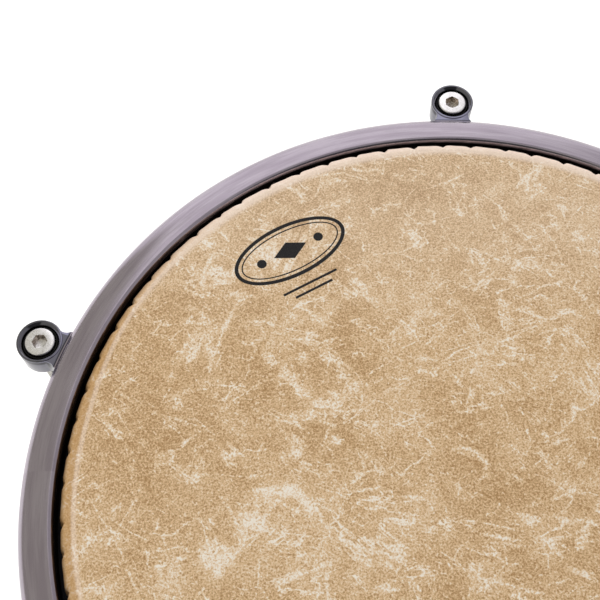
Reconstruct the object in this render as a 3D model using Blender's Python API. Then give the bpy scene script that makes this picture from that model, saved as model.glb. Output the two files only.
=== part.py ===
"""A small hand-tuned kettle drum on three legs.

A copper kettle carries a bearing ring, over which a film head is stretched. The head's flesh hoop is
pulled down by a channel-section counterhoop with five cup ears. A socket-head screw in each ear runs
down into a swivel nut, which a lug bracket holds out from the kettle. Three tube legs slide through
clamp brackets and are locked by wing screws. Metres, +Z up, origin on the floor on the drum's axis.
"""

import math

import bmesh
import bpy
from mathutils import Matrix, Vector

# Driving dimensions, in metres
HEAD_HEIGHT = 0.560
HEAD_PROUD = 0.0009
HOOP_OUTER_RADIUS = 0.1780
HOOP_INNER_RADIUS = 0.1629
EAR_PITCH_RADIUS = 0.1886
SCREW_HEAD_RADIUS = 0.0065
SCREW_SHANK_RADIUS = 0.0040
SCREW_LENGTH = 0.080
KETTLE_RADIUS = 0.1562
KETTLE_WALL = 0.0015
KETTLE_STRAIGHT_DEPTH = 0.113
KETTLE_DEPTH = 0.236
VENT_HOLE_RADIUS = 0.0130
FILM_THICKNESS = 0.0005
LEG_PITCH_RADIUS = 0.1870
LEG_RADIUS = 0.0080
LEG_WALL = 0.0015
FOOT_RADIUS = 0.0125
GAP = 0.0003

LUG_COUNT = 5
FIRST_LUG_ANGLE = math.radians(90)
LEG_COUNT = 3
FIRST_LEG_ANGLE = math.radians(270)
SOCKET_TURNS = [0, 24, 41, 8, 52]

# Heights below are measured from the top of the counterhoop
HOOP_TOP = HEAD_HEIGHT - HEAD_PROUD
CROWN_START = -0.0095
CROWN_INNER_RADIUS = 0.1650
HOOP_METAL = 0.0028
SKIRT_END = -0.0220
INNER_LEG_END = -0.0104
CUP_TOP = -0.0052
CUP_BOTTOM = -0.0176
CUP_FLOOR = -0.0151
CUP_OUTER_RADIUS = 0.0099
CUP_BORE_RADIUS = 0.0078
SCREW_TOP = -0.0057
SCREW_SEAT = -0.0137
NUT_HEIGHT = -0.0780
NUT_RADIUS = 0.0060
LUG_BOLT_HEIGHTS = (-0.0640, -0.0920)
LEG_BOLT_HEIGHTS = (-0.0720, -0.1030)
LEG_CLAMP_TOP = -0.0715
LEG_CLAMP_BOTTOM = -0.1045
LEG_TOP = -0.0600
WING_HEIGHT = -0.0880
BOLT_RADIUS = 0.0030
BOLT_CLEARANCE = 0.0005

RING_SEGMENTS = 60
ROUND_SEGMENTS = 16
SMALL_SEGMENTS = 12
BOLT_SEGMENTS = 8


def clear_scene():
    for item in list(bpy.data.objects):
        bpy.data.objects.remove(item)


def make_material(name, colour, metallic, roughness):
    material = bpy.data.materials.new(name)
    material.use_nodes = True
    shader = material.node_tree.nodes["Principled BSDF"]
    shader.inputs["Base Color"].default_value = (*colour, 1.0)
    shader.inputs["Metallic"].default_value = metallic
    shader.inputs["Roughness"].default_value = roughness
    return material


def mesh_from(shape, name):
    bmesh.ops.recalc_face_normals(shape, faces=shape.faces)
    mesh = bpy.data.meshes.new(name)
    shape.to_mesh(mesh)
    shape.free()
    return mesh


def turned(name, outline, segments, solid=False):
    """A closed outline of (radius, height) spun about Z. A solid's outline starts and ends on the axis."""
    shape = bmesh.new()
    points = [shape.verts.new((radius, 0.0, height)) for radius, height in outline]
    ends = points[1:] if solid else points[1:] + points[:1]
    edges = [shape.edges.new(pair) for pair in zip(points, ends)]
    bmesh.ops.spin(
        shape,
        geom=points + edges,
        cent=(0, 0, 0),
        axis=(0, 0, 1),
        angle=math.tau,
        steps=segments,
        use_merge=True,
    )
    bmesh.ops.remove_doubles(shape, verts=shape.verts, dist=1e-6)
    bmesh.ops.dissolve_degenerate(shape, edges=shape.edges, dist=1e-6)
    return mesh_from(shape, name)


def extruded(name, outline, low, high, along="Z"):
    """A flat outline carried from low to high along Z, or along Y with the outline given as (x, z)."""
    shape = bmesh.new()
    if along == "Z":
        corners = [shape.verts.new((x, y, low)) for x, y in outline]
        travel = (0, 0, high - low)
    else:
        corners = [shape.verts.new((x, low, z)) for x, z in outline]
        travel = (0, high - low, 0)
    face = shape.faces.new(corners)
    grown = bmesh.ops.extrude_face_region(shape, geom=[face])
    moved = [item for item in grown["geom"] if isinstance(item, bmesh.types.BMVert)]
    bmesh.ops.translate(shape, verts=moved, vec=travel)
    return mesh_from(shape, name)


def cylinders(name, rods, segments):
    """Separate plain rods in one mesh, each given as (start, end, radius)."""
    shape = bmesh.new()
    for start, end, radius in rods:
        start, end = Vector(start), Vector(end)
        turn = (end - start).to_track_quat("Z", "Y").to_matrix().to_4x4()
        bmesh.ops.create_cone(
            shape,
            cap_ends=True,
            segments=segments,
            radius1=radius,
            radius2=radius,
            depth=(end - start).length,
            matrix=Matrix.Translation((start + end) / 2) @ turn,
        )
    return mesh_from(shape, name)


def combined(name, base, steps):
    """The mesh left when each (operation, mesh) of steps is applied to base by an exact Boolean."""
    body = bpy.data.objects.new(name, base)
    bpy.context.scene.collection.objects.link(body)
    helpers = []
    for operation, mesh in steps:
        helper = bpy.data.objects.new(name + "_tool", mesh)
        bpy.context.scene.collection.objects.link(helper)
        helper.hide_render = True
        helper.display_type = "WIRE"
        modifier = body.modifiers.new(operation, "BOOLEAN")
        modifier.operation = operation
        modifier.solver = "EXACT"
        modifier.object = helper
        helpers.append(helper)
    graph = bpy.context.evaluated_depsgraph_get()
    result = bpy.data.meshes.new_from_object(body.evaluated_get(graph))
    result.name = name
    for item in [body, *helpers]:
        bpy.data.objects.remove(item)
    return result


def place(name, mesh, material, height=HOOP_TOP, angle=0.0, at=(0.0, 0.0), spin=0.0):
    """One sub-part. It is turned to a lug's or leg's angle about the drum's axis, with its origin at a
    radial and tangential place there, and its own turn about its upright axis."""
    part = bpy.data.objects.new(name, mesh)
    bpy.context.scene.collection.objects.link(part)
    part.location = Matrix.Rotation(angle, 3, "Z") @ Vector((*at, height))
    part.rotation_euler = (0, 0, angle + spin)
    if not part.data.materials:
        part.data.materials.append(material)
    part.data.shade_smooth()
    part.data.set_sharp_from_angle(angle=math.radians(35))
    return part


def ellipse(radius, drop, centre, first, last, steps):
    """Points (radius, height) of an ellipse about (centre radius, centre height), by angle in degrees."""
    angles = [math.radians(first + (last - first) * i / steps) for i in range(steps + 1)]
    return [(centre[0] + radius * math.cos(a), centre[1] + drop * math.sin(a)) for a in angles]


def thickened(path, thickness):
    """A closed outline that follows an open path of (radius, height) on both sides of it."""
    points = [Vector(point) for point in path]
    sides = []
    for before, here, after in zip(points[:1] + points[:-1], points, points[1:] + points[-1:]):
        along = ((here - before).normalized() + (after - here).normalized()).normalized()
        sides.append(Vector((-along.y, along.x)) * thickness / 2)
    outer = [tuple(point + side) for point, side in zip(points, sides)]
    inner = [tuple(point - side) for point, side in zip(points, sides)]
    return outer, inner


def arc_plate(name, inner_radius, outer_radius, half_width, low, high):
    """An upright plate that wraps the kettle, symmetric about local +X."""
    half_angle = half_width / inner_radius
    angles = [half_angle * i / 2 for i in range(-2, 3)]
    inner = [(inner_radius * math.cos(a), inner_radius * math.sin(a)) for a in angles]
    outer = [(outer_radius * math.cos(a), outer_radius * math.sin(a)) for a in reversed(angles)]
    return extruded(name, inner + outer, low, high)


def lug_angles():
    return [FIRST_LUG_ANGLE + math.tau * i / LUG_COUNT for i in range(LUG_COUNT)]


def leg_angles():
    return [FIRST_LEG_ANGLE + math.tau * i / LEG_COUNT for i in range(LEG_COUNT)]


def bolt_rods(angles, heights, start, end, radius):
    """Rods along the kettle's radii, one for each angle and height."""
    rods = []
    for angle in angles:
        outward = Vector((math.cos(angle), math.sin(angle), 0))
        for height in heights:
            lift = Vector((0, 0, height))
            rods.append((outward * start + lift, outward * end + lift, radius))
    return rods


def add_kettle(materials):
    bowl_drop = KETTLE_DEPTH - KETTLE_STRAIGHT_DEPTH
    inner_radius = KETTLE_RADIUS - KETTLE_WALL
    centre = (0.0, -KETTLE_STRAIGHT_DEPTH)
    rim = -0.0089
    last_outer = -math.degrees(math.acos(VENT_HOLE_RADIUS / KETTLE_RADIUS))
    last_inner = -math.degrees(math.acos(VENT_HOLE_RADIUS / inner_radius))
    steps = 8
    outer = [(KETTLE_RADIUS, rim)] + ellipse(KETTLE_RADIUS, bowl_drop, centre, 0, last_outer, steps)
    inner = [(inner_radius, rim)]
    inner += ellipse(inner_radius, bowl_drop - KETTLE_WALL, centre, 0, last_inner, steps)
    shell = turned("kettle_bowl", outer + inner[::-1], RING_SEGMENTS)
    reach = (inner_radius - 0.010, KETTLE_RADIUS + 0.010, BOLT_RADIUS + BOLT_CLEARANCE)
    rods = bolt_rods(lug_angles(), LUG_BOLT_HEIGHTS, *reach)
    rods += bolt_rods(leg_angles(), LEG_BOLT_HEIGHTS, *reach)
    holes = cylinders("bolt_holes", rods, BOLT_SEGMENTS)
    bowl = combined("kettle_bowl", shell, [("DIFFERENCE", holes)])
    place("kettle_bowl", bowl, materials["copper"])

    spigot = inner_radius - 0.00035
    section = [
        (0.1495, -0.0220),
        (spigot, -0.0220),
        (spigot, rim + GAP),
        (KETTLE_RADIUS, rim + GAP),
        (0.1568, -0.0030),
        (0.1563, -0.0011),
        (0.1552, -0.0002),
        (0.1538, -0.0002),
        (0.1495, -0.0070),
    ]
    place("bearing_ring", turned("bearing_ring", section, RING_SEGMENTS), materials["steel"])

    flange = 0.0165
    sleeve = VENT_HOLE_RADIUS - 0.0004
    bore = 0.0100
    lip = 0.0015
    top = -KETTLE_DEPTH + KETTLE_WALL + 0.0012 + lip
    bottom = -KETTLE_DEPTH - lip
    grommet = [
        (bore, top),
        (flange, top),
        (flange, top - lip),
        (sleeve, top - lip),
        (sleeve, bottom + lip),
        (flange, bottom + lip),
        (flange, bottom),
        (bore, bottom),
    ]
    place("vent_grommet", turned("vent_grommet", grommet, ROUND_SEGMENTS), materials["rubber"])


def add_head(materials):
    """The film runs flat over the bearing ring, slopes and turns down, and ends in the flesh hoop's slot."""
    middle = HEAD_PROUD - FILM_THICKNESS / 2
    slot = 0.15875
    path = [
        (0.0, middle),
        (0.1558, middle),
        (0.1572, middle - 0.0003),
        (0.1585, middle - 0.0009),
        (0.1592, middle - 0.0020),
        (0.1593, middle - 0.0045),
        (slot, middle - 0.0105),
        (slot, -0.0149),
    ]
    outer, inner = thickened(path, FILM_THICKNESS)
    film = turned("drumhead_film", outer + inner[::-1], RING_SEGMENTS, solid=True)
    place("drumhead_film", film, materials["film"])

    top, bottom, slot_end = -0.0107, -0.0189, -0.0173
    slot_inner, slot_outer = 0.1581, 0.1594
    channel = [
        (0.1572, bottom),
        (0.1660, bottom),
        (0.1660, top),
        (slot_outer, top),
        (slot_outer, slot_end),
        (slot_inner, slot_end),
        (slot_inner, top),
        (0.1572, top),
    ]
    place("flesh_hoop", turned("flesh_hoop", channel, RING_SEGMENTS), materials["aluminium"])


def counterhoop_section():
    crown_width = HOOP_OUTER_RADIUS - CROWN_INNER_RADIUS
    crown = ellipse(crown_width, -CROWN_START, (CROWN_INNER_RADIUS, CROWN_START), 0, 90, 5)
    under_width, under_rise = crown_width - HOOP_METAL, -CROWN_START - HOOP_METAL
    inner_leg = HOOP_INNER_RADIUS + HOOP_METAL
    under = ellipse(under_width, under_rise, (CROWN_INNER_RADIUS, CROWN_START), 0, 84, 3)
    outside = [(HOOP_OUTER_RADIUS, SKIRT_END)] + crown
    inside_edge = [
        (HOOP_INNER_RADIUS + 0.0008, 0.0),
        (HOOP_INNER_RADIUS, -0.0010),
        (HOOP_INNER_RADIUS, INNER_LEG_END),
        (inner_leg, INNER_LEG_END),
    ]
    underside = under[::-1] + [(HOOP_OUTER_RADIUS - HOOP_METAL, SKIRT_END)]
    return outside + inside_edge + underside


def cup_mesh():
    """An ear's cup at its distance along +X, bored right through and open at its top."""
    edge, hole_radius = 0.0006, SCREW_SHANK_RADIUS + 0.0006
    section = [
        (CUP_BORE_RADIUS, CUP_TOP),
        (CUP_OUTER_RADIUS - edge, CUP_TOP),
        (CUP_OUTER_RADIUS, CUP_TOP - edge),
        (CUP_OUTER_RADIUS, CUP_BOTTOM + edge),
        (CUP_OUTER_RADIUS - edge, CUP_BOTTOM),
        (hole_radius, CUP_BOTTOM),
        (hole_radius, CUP_FLOOR),
        (CUP_BORE_RADIUS, CUP_FLOOR),
    ]
    cup = turned("cup", section, ROUND_SEGMENTS)
    cup.transform(Matrix.Translation((EAR_PITCH_RADIUS, 0, 0)))
    return cup


def neck_mesh():
    """The flared neck from the hoop's skirt to the cup. It starts and ends inside their walls."""
    root, reach = HOOP_OUTER_RADIUS - 0.0018, (CUP_BORE_RADIUS + CUP_OUTER_RADIUS) / 2
    half = [(root, 0.0089), (0.1781, 0.0085), (0.1794, 0.0078), (0.1812, 0.0075)]
    ends = [math.radians(angle) for angle in range(60, -61, -20)]
    scoop = [(EAR_PITCH_RADIUS - reach * math.cos(a), reach * math.sin(a)) for a in ends]
    outline = half + scoop + [(x, -y) for x, y in reversed(half)]
    return extruded("neck", outline, CUP_BOTTOM + 0.0013, CUP_TOP - 0.0008)


def around_axis(mesh, angles):
    """One mesh holding a copy of the given mesh at each angle about Z."""
    shape = bmesh.new()
    for angle in angles:
        turn = Matrix.Rotation(angle, 4, "Z")
        mesh.transform(turn)
        shape.from_mesh(mesh)
        mesh.transform(turn.inverted())
    return mesh_from(shape, mesh.name)


def add_counterhoop(materials):
    ring = turned("counterhoop", counterhoop_section(), RING_SEGMENTS)
    ears = [("UNION", around_axis(mesh, lug_angles())) for mesh in (neck_mesh(), cup_mesh())]
    hoop = combined("counterhoop", ring, ears)
    place("counterhoop", hoop, materials["dark_chrome"])


def tension_screw_mesh():
    chamfer, point = 0.0006, 0.0008
    end = SCREW_SEAT - SCREW_LENGTH
    rod = turned(
        "tension_screw",
        [
            (0.0, SCREW_TOP),
            (SCREW_HEAD_RADIUS - chamfer, SCREW_TOP),
            (SCREW_HEAD_RADIUS, SCREW_TOP - chamfer),
            (SCREW_HEAD_RADIUS, SCREW_SEAT),
            (SCREW_SHANK_RADIUS, SCREW_SEAT),
            (SCREW_SHANK_RADIUS, end + point),
            (SCREW_SHANK_RADIUS - point, end),
            (0.0, end),
        ],
        ROUND_SEGMENTS,
        solid=True,
    )
    across_flats, depth = 0.0060, 0.0048
    corner_radius = across_flats / 2 / math.cos(math.pi / 6)
    socket = cylinders(
        "socket", [((0, 0, SCREW_TOP - depth), (0, 0, SCREW_TOP + 0.002), corner_radius)], 6
    )
    return combined("tension_screw", rod, [("DIFFERENCE", socket)])


def nylon_cup_mesh():
    outer, inner, hole = CUP_BORE_RADIUS - GAP, SCREW_HEAD_RADIUS + GAP, SCREW_SHANK_RADIUS + 0.0005
    floor_top = SCREW_SEAT - GAP
    floor_bottom = CUP_FLOOR + GAP
    wall_top = CUP_TOP - 0.0014
    section = [
        (hole, floor_bottom),
        (outer, floor_bottom),
        (outer, wall_top),
        (inner, wall_top),
        (inner, floor_top),
        (hole, floor_top),
    ]
    return turned("nylon_cup", section, SMALL_SEGMENTS)


def swivel_nut_mesh():
    """A barrel on its side. Its origin is on the axis of the upright hole for the tension screw."""
    half_length = 0.0085
    barrel = cylinders(
        "swivel_nut",
        [((0, -half_length, NUT_HEIGHT), (0, half_length, NUT_HEIGHT), NUT_RADIUS)],
        ROUND_SEGMENTS,
    )
    low, high = NUT_HEIGHT - 0.010, NUT_HEIGHT + 0.010
    hole = cylinders("thread", [((0, 0, low), (0, 0, high), SCREW_SHANK_RADIUS + 0.0004)], SMALL_SEGMENTS)
    return combined("swivel_nut", barrel, [("DIFFERENCE", hole)])


def lug_bracket_mesh():
    seat = KETTLE_RADIUS + 0.00035
    plate_low, plate_high = NUT_HEIGHT - 0.022, NUT_HEIGHT + 0.022
    housing_low, housing_high, housing_radius = NUT_HEIGHT - 0.011, NUT_HEIGHT + 0.011, 0.0092
    plate = arc_plate("lug_bracket", seat, seat + 0.0042, 0.0140, plate_low, plate_high)
    gusset = [
        (seat + 0.002, plate_low + 0.001),
        (0.1820, housing_low + 0.001),
        (EAR_PITCH_RADIUS, housing_low + 0.001),
        (EAR_PITCH_RADIUS, housing_high - 0.001),
        (0.1820, housing_high - 0.001),
        (seat + 0.002, plate_high - 0.001),
    ]
    arm = extruded("arm", gusset, -0.0062, 0.0062, along="Y")
    x = EAR_PITCH_RADIUS
    rod = ((x, 0, housing_low), (x, 0, housing_high), housing_radius)
    housing = cylinders("housing", [rod], ROUND_SEGMENTS)
    screw_way = cylinders("screw_way", [((x, 0, -0.120), (x, 0, -0.040), SCREW_SHANK_RADIUS + 0.0010)], 12)
    nut_seat = cylinders(
        "nut_seat",
        [((x, -0.020, NUT_HEIGHT), (x, 0.020, NUT_HEIGHT), NUT_RADIUS + 0.0004)],
        ROUND_SEGMENTS,
    )
    rods = bolt_rods([0.0], LUG_BOLT_HEIGHTS, seat - 0.005, seat + 0.0125, BOLT_RADIUS + BOLT_CLEARANCE)
    bolt_ways = cylinders("bolt_ways", rods, BOLT_SEGMENTS)
    steps = [("UNION", arm), ("UNION", housing)]
    steps += [("DIFFERENCE", mesh) for mesh in (screw_way, nut_seat, bolt_ways)]
    bracket = combined("lug_bracket", plate, steps)
    bracket.transform(Matrix.Translation((-EAR_PITCH_RADIUS, 0, 0)))
    return bracket


def bolt_mesh():
    """A hexagon-head bolt along local +X, driven outward from inside the kettle. Its origin is its seat."""
    head_height, head_corner = 0.0042, 0.0056
    head = cylinders("bracket_bolt", [((-head_height, 0, 0), (0, 0, 0), head_corner)], 6)
    shank = cylinders("shank", [((-head_height / 2, 0, 0), (0.0145, 0, 0), BOLT_RADIUS)], BOLT_SEGMENTS)
    return combined("bracket_bolt", head, [("UNION", shank)])


def add_bolts(materials, mesh, name, angles, heights):
    seat = KETTLE_RADIUS - KETTLE_WALL - 0.0005
    for i, angle in enumerate(angles, start=1):
        for level, height in zip(("upper", "lower"), heights):
            place(f"{name}_{i}_{level}", mesh, materials["steel"], HOOP_TOP + height, angle, (seat, 0.0))


def add_tuning_gear(materials, bolt):
    screw, cup = tension_screw_mesh(), nylon_cup_mesh()
    nut, bracket = swivel_nut_mesh(), lug_bracket_mesh()
    at = (EAR_PITCH_RADIUS, 0.0)
    for i, angle in enumerate(lug_angles(), start=1):
        turn = math.radians(SOCKET_TURNS[i - 1])
        place(f"tension_screw_{i}", screw, materials["bright_steel"], angle=angle, at=at, spin=turn)
        place(f"nylon_cup_{i}", cup, materials["rubber"], angle=angle, at=at)
        place(f"swivel_nut_{i}", nut, materials["brass"], angle=angle, at=at)
        place(f"lug_bracket_{i}", bracket, materials["dark_chrome"], angle=angle, at=at)
    add_bolts(materials, bolt, "lug_bolt", lug_angles(), LUG_BOLT_HEIGHTS)


def leg_bracket_mesh():
    seat = KETTLE_RADIUS + 0.00035
    low, high = LEG_CLAMP_BOTTOM - 0.0075, LEG_CLAMP_TOP + 0.0075
    plate = arc_plate("leg_bracket", seat, seat + 0.0042, 0.0155, low, high)
    x, wall = LEG_PITCH_RADIUS, 0.0048
    block = [(seat + 0.002, -0.0100), (x, -0.0100), (x, 0.0100), (seat + 0.002, 0.0100)]
    arm = extruded("arm", block, LEG_CLAMP_BOTTOM + 0.0015, LEG_CLAMP_TOP - 0.0015)
    clamp_radius = LEG_RADIUS + wall
    rod = ((x, 0, LEG_CLAMP_BOTTOM), (x, 0, LEG_CLAMP_TOP), clamp_radius)
    clamp = cylinders("clamp", [rod], ROUND_SEGMENTS)
    boss = cylinders("boss", [((x, 0.004, WING_HEIGHT), (x, 0.0190, WING_HEIGHT), 0.0072)], ROUND_SEGMENTS)
    bore = cylinders("bore", [((x, 0, -0.130), (x, 0, -0.050), LEG_RADIUS + 0.0004)], ROUND_SEGMENTS)
    screw_way = cylinders("screw_way", [((x, 0.002, WING_HEIGHT), (x, 0.025, WING_HEIGHT), 0.0044)], 12)
    rods = bolt_rods([0.0], LEG_BOLT_HEIGHTS, seat - 0.005, seat + 0.0125, BOLT_RADIUS + BOLT_CLEARANCE)
    bolt_ways = cylinders("bolt_ways", rods, BOLT_SEGMENTS)
    steps = [("UNION", arm), ("UNION", clamp), ("UNION", boss)]
    steps += [("DIFFERENCE", mesh) for mesh in (bore, screw_way, bolt_ways)]
    bracket = combined("leg_bracket", plate, steps)
    bracket.transform(Matrix.Translation((-LEG_PITCH_RADIUS, 0, 0)))
    return bracket


def leg_tube_mesh():
    top, bottom = LEG_TOP, 0.0080 - HOOP_TOP
    inner = LEG_RADIUS - LEG_WALL
    return turned(
        "leg_tube",
        [(inner, top), (LEG_RADIUS, top), (LEG_RADIUS, bottom), (inner, bottom)],
        ROUND_SEGMENTS,
    )


def leg_cap_mesh():
    """A plug for the tube's top end, with a domed lip as wide as the tube."""
    lip, spigot = LEG_TOP + GAP, LEG_RADIUS - LEG_WALL - GAP
    section = [
        (0.0, lip + 0.0030),
        (0.0050, lip + 0.0026),
        (LEG_RADIUS - 0.0005, lip + 0.0012),
        (LEG_RADIUS, lip + 0.0006),
        (LEG_RADIUS, lip),
        (spigot, lip),
        (spigot, lip - 0.0090),
        (0.0, lip - 0.0090),
    ]
    return turned("leg_cap", section, ROUND_SEGMENTS, solid=True)


def rubber_foot_mesh():
    """A pushed-on tip with a flat base. Heights here are above the floor."""
    socket, floor = LEG_RADIUS + GAP, 0.0077
    section = [
        (0.0, 0.0),
        (FOOT_RADIUS - 0.0015, 0.0),
        (FOOT_RADIUS, 0.0015),
        (FOOT_RADIUS, 0.0070),
        (0.0108, 0.0340),
        (0.0100, 0.0350),
        (socket, 0.0350),
        (socket, floor),
        (0.0, floor),
    ]
    return turned("rubber_foot", section, ROUND_SEGMENTS, solid=True)


def wing_screw_mesh():
    """Along local +Y from its tip by the leg, with upright wings outside the clamp's boss."""
    tip, hub_start, hub_end = LEG_RADIUS + 0.0006, 0.0194, 0.0290
    shank = cylinders("wing_screw", [((0, tip, 0), (0, hub_start + 0.002, 0), 0.0040)], SMALL_SEGMENTS)
    hub = cylinders("hub", [((0, hub_start, 0), (0, hub_end, 0), 0.0062)], SMALL_SEGMENTS)
    lobe = [(0.0035, 0.0040), (0.0060, 0.0150), (0.0030, 0.0185)]
    half = lobe + [(-x, z) for x, z in reversed(lobe)]
    upper = extruded("wing", half, 0.0235, 0.0275, along="Y")
    lower = extruded("wing", [(x, -z) for x, z in half], 0.0235, 0.0275, along="Y")
    return combined("wing_screw", shank, [("UNION", hub), ("UNION", upper), ("UNION", lower)])


def mirrored(mesh):
    """A copy of a mesh with its clockwise and anticlockwise sides swapped."""
    other = mesh.copy()
    other.transform(Matrix.Scale(-1, 4, (0, 1, 0)))
    other.flip_normals()
    return other


def add_legs(materials, bolt):
    """The last leg stands close behind a lug, so its wing screw is on the other side."""
    tube, cap, foot = leg_tube_mesh(), leg_cap_mesh(), rubber_foot_mesh()
    bracket, wing = leg_bracket_mesh(), wing_screw_mesh()
    far_bracket, far_wing = mirrored(bracket), mirrored(wing)
    at = (LEG_PITCH_RADIUS, 0.0)
    for i, angle in enumerate(leg_angles(), start=1):
        last = i == LEG_COUNT
        side = far_bracket if last else bracket
        screw = far_wing if last else wing
        place(f"leg_bracket_{i}", side, materials["dark_chrome"], angle=angle, at=at)
        place(f"leg_tube_{i}", tube, materials["bright_steel"], angle=angle, at=at)
        place(f"leg_cap_{i}", cap, materials["rubber"], angle=angle, at=at)
        place(f"rubber_foot_{i}", foot, materials["rubber"], height=0.0, angle=angle, at=at)
        height = HOOP_TOP + WING_HEIGHT
        place(f"wing_screw_{i}", screw, materials["bright_steel"], height=height, angle=angle, at=at)
    add_bolts(materials, bolt, "leg_bolt", leg_angles(), LEG_BOLT_HEIGHTS)


def main():
    clear_scene()
    materials = {
        "copper": make_material("copper", (0.55, 0.24, 0.12), 1.0, 0.28),
        "dark_chrome": make_material("dark_chrome", (0.20, 0.18, 0.20), 1.0, 0.30),
        "bright_steel": make_material("bright_steel", (0.75, 0.74, 0.72), 1.0, 0.25),
        "steel": make_material("steel", (0.45, 0.45, 0.45), 1.0, 0.40),
        "aluminium": make_material("aluminium", (0.10, 0.10, 0.11), 1.0, 0.45),
        "brass": make_material("brass", (0.60, 0.45, 0.20), 1.0, 0.35),
        "film": make_material("film", (0.62, 0.46, 0.28), 0.0, 0.50),
        "rubber": make_material("rubber", (0.02, 0.02, 0.02), 0.0, 0.60),
    }
    bolt = bolt_mesh()
    add_kettle(materials)
    add_head(materials)
    add_counterhoop(materials)
    add_tuning_gear(materials, bolt)
    add_legs(materials, bolt)


main()
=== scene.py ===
import math
import random

import bmesh
import bpy
from mathutils import Matrix, Vector


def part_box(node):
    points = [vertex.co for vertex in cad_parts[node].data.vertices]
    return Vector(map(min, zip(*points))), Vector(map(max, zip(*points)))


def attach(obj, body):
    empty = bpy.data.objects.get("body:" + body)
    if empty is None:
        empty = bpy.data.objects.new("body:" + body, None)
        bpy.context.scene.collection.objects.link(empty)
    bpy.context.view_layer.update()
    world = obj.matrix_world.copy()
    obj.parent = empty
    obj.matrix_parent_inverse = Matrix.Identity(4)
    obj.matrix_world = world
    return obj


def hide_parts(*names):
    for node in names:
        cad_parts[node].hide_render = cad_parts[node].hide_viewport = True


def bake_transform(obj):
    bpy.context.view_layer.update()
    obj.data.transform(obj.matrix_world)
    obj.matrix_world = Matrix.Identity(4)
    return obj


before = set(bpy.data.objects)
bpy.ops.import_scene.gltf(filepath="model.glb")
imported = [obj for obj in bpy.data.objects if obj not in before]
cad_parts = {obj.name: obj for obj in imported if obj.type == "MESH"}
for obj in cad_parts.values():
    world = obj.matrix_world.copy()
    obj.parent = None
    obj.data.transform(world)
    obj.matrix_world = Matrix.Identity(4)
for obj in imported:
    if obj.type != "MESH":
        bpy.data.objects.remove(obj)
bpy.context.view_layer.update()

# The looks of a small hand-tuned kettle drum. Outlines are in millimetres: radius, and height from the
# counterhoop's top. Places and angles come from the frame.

MM = 0.001
HOOP_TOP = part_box("counterhoop")[1].z

LUGS = (1, 2, 3, 4, 5)
LEGS = (1, 2, 3)
EAR_PITCH = 188.6
CUP_RADIUS = 9.9
BORE_RADIUS = 7.8
SHANK_HOLE = 4.6
LEG_PITCH = 187.0
LEG_RADIUS = 8.0
KETTLE_RADIUS = 156.2
KETTLE_WALL = 1.5
KETTLE_STRAIGHT = 113.0
KETTLE_DEPTH = 236.0
KETTLE_RIM = -8.9
NUT_HEIGHT = -78.0
WING_HEIGHT = -88.0
SCREW_TOP = -5.7
SOCKET_FLOOR = -10.1
THREAD_PITCH = 1.25
HOOP_INNER = 162.9
HOOP_OUTER = 178.0
RING_STEPS = 360
ROUND_STEPS = 64


def middle(node):
    low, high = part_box(node)
    return (low + high) / 2


def bearing(node):
    """The angle of a node about the drum's axis."""
    place = middle(node)
    return math.atan2(place.y, place.x)


# Mesh helpers


def rounded(corners, steps=5):
    """A closed outline through (x, y, radius) corners, each turned by an arc of its own radius."""
    outline = []
    for i, (x, y, radius) in enumerate(corners):
        here = Vector((x, y))
        if radius == 0:
            outline.append((x, y))
            continue
        back = (Vector(corners[i - 1][:2]) - here).normalized()
        onward = (Vector(corners[(i + 1) % len(corners)][:2]) - here).normalized()
        half_turn = back.angle(onward) / 2
        centre = here + (back + onward).normalized() * radius / math.sin(half_turn)
        first = here + back * radius / math.tan(half_turn) - centre
        last = here + onward * radius / math.tan(half_turn) - centre
        sweep = first.angle_signed(last)
        for step in range(steps + 1):
            spoke = Matrix.Rotation(-sweep * step / steps, 2) @ first
            outline.append(tuple(centre + spoke))
    return outline


def arc(centre, radii, first, last, steps):
    """Points of an ellipse about centre, from one angle in degrees to another."""
    angles = [math.radians(first + (last - first) * i / steps) for i in range(steps + 1)]
    return [(centre[0] + radii[0] * math.cos(a), centre[1] + radii[1] * math.sin(a)) for a in angles]


def new_mesh(name, verts, faces):
    mesh = bpy.data.meshes.new(name)
    mesh.from_pydata([tuple(c * MM for c in vert) for vert in verts], [], faces)
    shape = bmesh.new()
    shape.from_mesh(mesh)
    bmesh.ops.recalc_face_normals(shape, faces=shape.faces)
    shape.to_mesh(mesh)
    shape.free()
    return mesh


def lathe(name, outline, steps=ROUND_STEPS, shift=None):
    """An outline of (radius, height) turned about Z. One that starts and ends at radius 0 is a solid.
    shift(radius, height, angle) gives a radius to use instead."""
    verts, faces, rings = [], [], []
    for radius, height in outline:
        start = len(verts)
        if radius < 1e-6:
            verts.append((0.0, 0.0, height))
        else:
            for i in range(steps):
                angle = math.tau * i / steps
                reach = shift(radius, height, angle) if shift else radius
                verts.append((reach * math.cos(angle), reach * math.sin(angle), height))
        rings.append(list(range(start, len(verts))))
    closed = len(rings[0]) > 1
    for low, high in zip(rings, rings[1:] + rings[:1] if closed else rings[1:]):
        for i in range(steps):
            j = (i + 1) % steps
            corners = (low[i % len(low)], low[j % len(low)], high[j % len(high)], high[i % len(high)])
            face = list(dict.fromkeys(corners))
            if len(face) > 2:
                faces.append(face)
    return new_mesh(name, verts, faces)


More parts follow.
